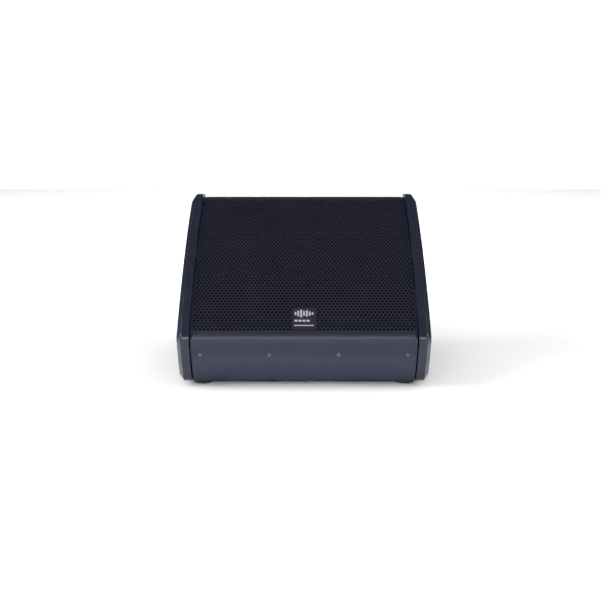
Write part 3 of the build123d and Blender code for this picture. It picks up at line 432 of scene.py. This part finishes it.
# ---------------------------------------------------------------- the grille
def perforated_grille():
    """One bent steel sheet, with staggered round holes over its whole bowed face."""
    cell_r = HOLE_PITCH / 3 ** 0.5
    row_step = cell_r * 1.5
    half = PROFILE.half_width
    first, last = PLAIN_LOW, PROFILE.bow_length - PLAIN_HIGH
    rows = int((last - first) / row_step)
    columns = 2 * int(half / HOLE_PITCH + 1) + 1
    margin = (last - first - (rows - 1) * row_step) / 2
    start = Vector((-(columns // 2) * HOLE_PITCH, first + margin, 0))
    across, stagger = Vector((HOLE_PITCH, 0, 0)), Vector((HOLE_PITCH / 2, row_step, 0))

    bm = bmesh.new()
    outer = bmesh.ops.create_circle(bm, segments=6, radius=cell_r)["verts"]
    hole = bmesh.ops.create_circle(bm, segments=HOLE_SIDES, radius=HOLE_R)["verts"]
    bmesh.ops.bridge_loops(bm, edges=bm.edges[:])
    bmesh.ops.translate(bm, verts=outer + hole, vec=start)
    row = repeat(bm, bm.verts[:] + bm.edges[:] + bm.faces[:], columns, across)
    for n in range(1, rows):
        copy = bmesh.ops.duplicate(bm, geom=row)["geom"]
        verts = [item for item in copy if isinstance(item, bmesh.types.BMVert)]
        shift = Vector((stagger.x if n % 2 else 0.0, row_step * n, 0))
        bmesh.ops.translate(bm, verts=verts, vec=shift)

    # a row of plain cells below and above the holes, cut straight
    for n in (-1, rows):
        plain = bmesh.ops.create_circle(bm, cap_ends=True, segments=6, radius=cell_r)["verts"]
        shift = Vector((stagger.x if n % 2 else 0.0, row_step * n, 0))
        bmesh.ops.translate(bm, verts=plain, vec=start + shift)
        faces = list({face for vert in plain for face in vert.link_faces})
        edges = list({edge for vert in plain for edge in vert.link_edges})
        repeat(bm, plain + edges + faces, columns, across)
    bmesh.ops.remove_doubles(bm, verts=bm.verts[:], dist=1e-5)
    low_cut, high_cut = start.y - row_step, start.y + rows * row_step
    for point, normal in (((0, low_cut, 0), (0, -1, 0)), ((0, high_cut, 0), (0, 1, 0)),
                          ((half, 0, 0), (1, 0, 0)), ((-half, 0, 0), (-1, 0, 0))):
        geom = bm.verts[:] + bm.edges[:] + bm.faces[:]
        bmesh.ops.bisect_plane(bm, geom=geom, dist=1e-7, plane_co=point, plane_no=normal, clear_outer=True)

    bend = [-PROFILE.bend_length / BEND_STRIPS] * BEND_STRIPS
    grow(bm, low_cut, [-low_cut] + bend + [LIP - PROFILE.flange_length, -LIP])
    crease = [PROFILE.crease_length / CREASE_STRIPS] * CREASE_STRIPS
    grow(bm, high_cut, [PROFILE.bow_length - high_cut] + crease + [PROFILE.return_length])

    for face in bm.faces:
        if face.normal.z < 0:
            face.normal_flip()
    for edge in bm.edges:
        edge.smooth = not edge.is_boundary
    for vert in bm.verts:
        vert.co = PROFILE.place(vert.co.x, vert.co.y)
    piece = finished("perforated_grille", bm, FINISHES["grille_paint"], smooth=None)
    wall = piece.modifiers.new("sheet", "SOLIDIFY")
    wall.thickness = SHEET
    wall.offset = -1
    wall.use_even_offset = True
    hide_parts("grille")
    return piece


def foam_sheet():
    """Black foam that lies against the inside of the grille."""
    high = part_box("grille_foam")[1]
    bm = bmesh.new()
    bmesh.ops.create_grid(bm, x_segments=60, y_segments=60, size=0.5)
    length = PROFILE.bow_length - 2 * FOAM_END
    for vert in bm.verts:
        x = vert.co.x * 2 * (high.x - FOAM_SIDE)
        way = FOAM_END + (vert.co.y + 0.5) * length
        ripple = 0.00012 * (sin(x * 310) + sin(way * 270 + x * 90))
        vert.co = PROFILE.place(x, way, SHEET + FOAM_GAP + abs(ripple))
    piece = finished("foam_sheet", bm, FINISHES["foam_black"])
    body = piece.modifiers.new("foam", "SOLIDIFY")
    body.thickness = FOAM_THICK - FOAM_SPARE
    body.offset = -1
    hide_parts("grille_foam")
    return piece


def wadding_pad():
    """Loose wadding on the bottom panel: a slab with a crowned, lumpy top and rounded edges."""
    low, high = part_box("damping_pad")
    size, middle = high - low, (high + low) / 2
    bm = bmesh.new()
    bmesh.ops.create_cube(bm, size=1)
    bmesh.ops.scale(bm, verts=bm.verts[:], vec=size * 0.98)
    bmesh.ops.subdivide_edges(bm, edges=bm.edges[:], cuts=30, use_grid_fill=True)
    for vert in bm.verts:
        x, y = vert.co.x / size.x * 2, vert.co.y / size.y * 2
        fall = max(0.0, 1 - x ** 8) * max(0.0, 1 - y ** 8)
        lump = 0.06 * (sin(x * 9) * sin(y * 7) + sin(x * 23 + y * 17) * 0.5)
        rise = (vert.co.z / size.z + 0.49) * (0.45 + 0.45 * fall ** 0.5 + lump * fall)
        vert.co = Vector((middle.x + vert.co.x, middle.y + vert.co.y, low.z + 0.0003 + rise * size.z))
    piece = finished("wadding_pad", bm, FINISHES["wadding"])
    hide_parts("damping_pad")
    return piece


# ---------------------------------------------------------------- printing on the amplifier panel
def rear_frame(at_node, lift):
    """Matrix of the panel's own frame, centred on a node: x right as seen from behind, z out."""
    low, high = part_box(at_node)
    out = Vector((0, cos(REAR_LEAN), sin(REAR_LEAN)))
    up = Vector((0, -sin(REAR_LEAN), cos(REAR_LEAN)))
    plate_low, plate_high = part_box("amp_plate")
    plate_middle = (plate_low + plate_high) / 2
    middle = (low + high) / 2
    middle -= out * (middle - plate_middle).dot(out)
    middle += out * (PLATE_THICK / 2 + lift)
    turned = Matrix((Vector((-1, 0, 0)), up, out)).transposed().to_4x4()
    return Matrix.Translation(middle) @ turned


def dial_marks(knob, radius, sweep, count, numerals):
    """Printed ticks, and numerals where asked, on an arc round a knob."""
    bm = bmesh.new()
    for n in range(count):
        angle = radians(-sweep / 2 + sweep * n / (count - 1))
        made = bmesh.ops.create_cube(bm, size=1)["verts"]
        bmesh.ops.scale(bm, verts=made, vec=(0.0005, 0.0018, 0.00012))
        bmesh.ops.translate(bm, verts=made, vec=(0, radius, 0))
        turn = Matrix.Rotation(-angle, 3, "Z")
        bmesh.ops.rotate(bm, verts=made, cent=(0, 0, 0), matrix=turn)
    for n in range(count if numerals else 0):
        angle = radians(-sweep / 2 + sweep * n / (count - 1))
        add_text(bm, str(n), 0.0028, (sin(angle) * (radius + 0.0032), cos(angle) * (radius + 0.0032), 0))
    bmesh.ops.transform(bm, verts=bm.verts[:], matrix=rear_frame(knob, 0.00006))
    return finished("dial_marks_" + knob, bm, PRINT, smooth=False)


def add_text(bm, words, height, spot):
    """Adds flat raised lettering, centred on a spot, to a bmesh."""
    curve = bpy.data.curves.new("numeral", "FONT")
    curve.body = words
    curve.size = height
    curve.align_x = curve.align_y = "CENTER"
    curve.extrude = 0.00006
    curve.resolution_u = 2
    holder = bpy.data.objects.new("numeral", curve)
    bpy.context.scene.collection.objects.link(holder)
    bpy.context.view_layer.update()
    mesh = bpy.data.meshes.new_from_object(holder)
    mesh.transform(Matrix.Translation(spot))
    bm.from_mesh(mesh)
    bpy.data.objects.remove(holder)
    bpy.data.meshes.remove(mesh)
    bpy.data.curves.remove(curve)


def pointer_line(knob, length, lift):
    """White line on a knob's raised pointer."""
    bm = bmesh.new()
    bmesh.ops.create_cube(bm, size=1)
    bmesh.ops.scale(bm, verts=bm.verts[:], vec=(0.0009, length * 0.9, 0.0001))
    bmesh.ops.translate(bm, verts=bm.verts[:], vec=(0, length * 0.69, 0))
    bmesh.ops.transform(bm, verts=bm.verts[:], matrix=rear_frame(knob, lift))
    return finished("pointer_line_" + knob, bm, PRINT, body=knob, smooth=False)


def panel_frames():
    """Thin printed outlines that group the sockets."""
    bm = bmesh.new()
    for first, second in (("xlr_input", "xlr_link"), ("mains_inlet", "mains_link")):
        one, two = rear_frame(first, 0.00006), rear_frame(second, 0.00006)
        centre = one.lerp(two, 0.5)
        centre.translation = (one.translation + two.translation) / 2
        made = bmesh.ops.create_circle(bm, segments=24, radius=0.004, cap_ends=True)["verts"]
        for vert in made:
            vert.co.x += 0.037 if vert.co.x > 0 else -0.037
            vert.co.y += 0.016 if vert.co.y > 0 else -0.016
        inside = made[0].link_faces[0]
        inside.normal_update()
        if inside.normal.z < 0:
            inside.normal_flip()
        bmesh.ops.inset_region(bm, faces=[inside], thickness=0.0005, use_boundary=True)
        bmesh.ops.delete(bm, geom=[inside], context="FACES_ONLY")
        fresh = [vert for vert in bm.verts if abs(vert.co.z) < 1e-6 and vert.co.length < 0.06]
        bmesh.ops.transform(bm, verts=fresh, matrix=centre)
    return finished("panel_frames", bm, PRINT, smooth=False)


# ---------------------------------------------------------------- floor, light and camera
WALL_Y, WALL_HIGH = 5.0, 2.8


def backdrop():
    """White floor, and a white wall far behind the wedge that doesn't show in its gloss."""
    white = finish("backdrop", grey(0.93), grey(0.91), 0.25, swing=0.02, scale=3, bump=0.0)
    for name, size, place in (
        ("floor", (28, 30), Matrix()),
        ("wall", (28, 2 * WALL_HIGH), Matrix.Translation((0, WALL_Y, 0)) @ Matrix.Rotation(pi / 2, 4, "X")),
    ):
        bm = bmesh.new()
        bmesh.ops.create_grid(bm, x_segments=1, y_segments=1, size=0.5)
        bmesh.ops.scale(bm, verts=bm.verts[:], vec=(*size, 1))
        bmesh.ops.transform(bm, verts=bm.verts[:], matrix=place)
        mesh = bpy.data.meshes.new(name)
        bm.to_mesh(mesh)
        bm.free()
        surface = bpy.data.objects.new(name, mesh)
        bpy.context.scene.collection.objects.link(surface)
        mesh.materials.append(white)
        surface.visible_glossy = name == "floor"


def studio():
    """Dim surroundings, soft lights in front and at both sides, and three that fill the floor and wall."""
    world = bpy.data.worlds.new("studio")
    bpy.context.scene.world = world
    world.use_nodes = True
    world.node_tree.nodes["Background"].inputs["Color"].default_value = (0.8, 0.86, 1, 1)
    world.node_tree.nodes["Background"].inputs["Strength"].default_value = 0.06
    for name, place, aim, width, height, power in (
        ("front_strip", (-0.3, -3.9, 1.3), (0, 0, 0.1), 3.4, 0.6, 85),
        ("left_softbox", (-3.0, -1.0, 2.2), (0, -0.3, 0), 2.0, 2.0, 125),
        ("right_softbox", (3.0, -1.0, 2.2), (0, -0.3, 0), 2.0, 2.0, 75),
        ("wall_softbox", (0.0, 0.9, 2.6), (0, 5.0, 1.8), 4.0, 3.0, 300),
        ("ceiling", (0.0, 1.2, 4.2), (0, 1.2, 0), 8.0, 7.0, 225),
        ("front_fill", (0.0, -3.2, 1.5), (0, -0.2, 0), 2.4, 1.4, 45),
    ):
        lamp = bpy.data.lights.new(name, "AREA")
        lamp.shape = "RECTANGLE"
        lamp.energy = power
        lamp.size = width
        lamp.size_y = height
        holder = bpy.data.objects.new(name, lamp)
        holder.location = place
        holder.rotation_euler = (Vector(aim) - Vector(place)).to_track_quat("-Z", "Y").to_euler()
        holder.visible_glossy = name not in ("ceiling", "front_fill", "wall_softbox")
        bpy.context.scene.collection.objects.link(holder)
    bpy.context.scene.view_settings.view_transform = "Standard"


def camera():
    """In front of the wedge and a little above it, looking 10 degrees down."""
    view = bpy.data.cameras.new("camera")
    view.lens = 62.9
    view.sensor_width = 36
    view.shift_x = -0.0058
    holder = bpy.data.objects.new("camera", view)
    holder.location = (0, cad_box[0].y - 1.779, 0.476)
    holder.rotation_euler = Euler((radians(80), 0, 0))
    bpy.context.scene.collection.objects.link(holder)
    bpy.context.scene.camera = holder


backdrop()
studio()
camera()
dress_cad_nodes()
perforated_grille()
foam_sheet()
wadding_pad()
dial_marks("level_knob", radius=0.0125, sweep=280, count=11, numerals=True)
dial_marks("preset_knob", radius=0.0105, sweep=150, count=6, numerals=False)
pointer_line("level_knob", length=0.008, lift=0.01354)
pointer_line("preset_knob", length=0.0064, lift=0.01154)
panel_frames()
